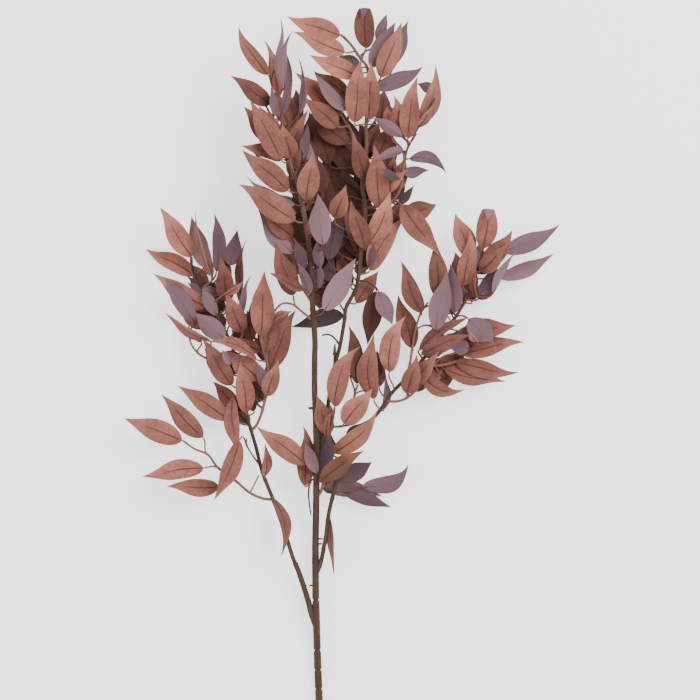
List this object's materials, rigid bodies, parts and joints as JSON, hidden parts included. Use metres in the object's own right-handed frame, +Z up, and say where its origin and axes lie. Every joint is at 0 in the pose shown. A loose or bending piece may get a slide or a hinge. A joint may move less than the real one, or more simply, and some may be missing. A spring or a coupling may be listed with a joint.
{
  "type": "artificial willow spray",
  "caption": "Cut artificial willow branch lying on a surface: a jointed brown stem, side branches and leafy sprigs, dusty rose above and mauve beneath.",
  "frame": {"origin": "middle of the spray's outline on the surface it lies on", "axes": "+Z up from the surface, +Y along the stem from the butt to the top leaves, +X to the right seen from above"},
  "size_m": [0.568, 0.9114, 0.1405],
  "materials": {
    "stem_moulding": "brown moulded bark, satin, streaked lengthwise",
    "twig_moulding": "thin red-brown moulded twigs and leaf stalks",
    "leaf_cloth": "printed woven leaf, dusty rose above and mauve beneath, with a pressed midrib",
    "steel_core": "cut steel wire, seen only at the butt"
  },
  "bodies": {
    "root": {"lower_stem": "stem_moulding", "stem_wire": "steel_core", "centre_stem": "leaf_cloth", "centre_tip": "leaf_cloth", "left_branch": "leaf_cloth", "right_branch": "leaf_cloth", "rear_stem": "leaf_cloth", "top_sprig": "leaf_cloth", "left_inner_sprig": "leaf_cloth", "left_side_sprig": "leaf_cloth", "lower_left_sprig": "leaf_cloth", "arc_sprig": "leaf_cloth", "side_sprig": "leaf_cloth", "lower_centre_sprig": "leaf_cloth", "right_side_sprig": "leaf_cloth", "right_low_sprig": "leaf_cloth", "right_outer_sprig": "leaf_cloth", "upper_left_sprig": "leaf_cloth", "upper_middle_sprig": "leaf_cloth", "upper_right_sprig": "leaf_cloth"}
  },
  "joints": []
}
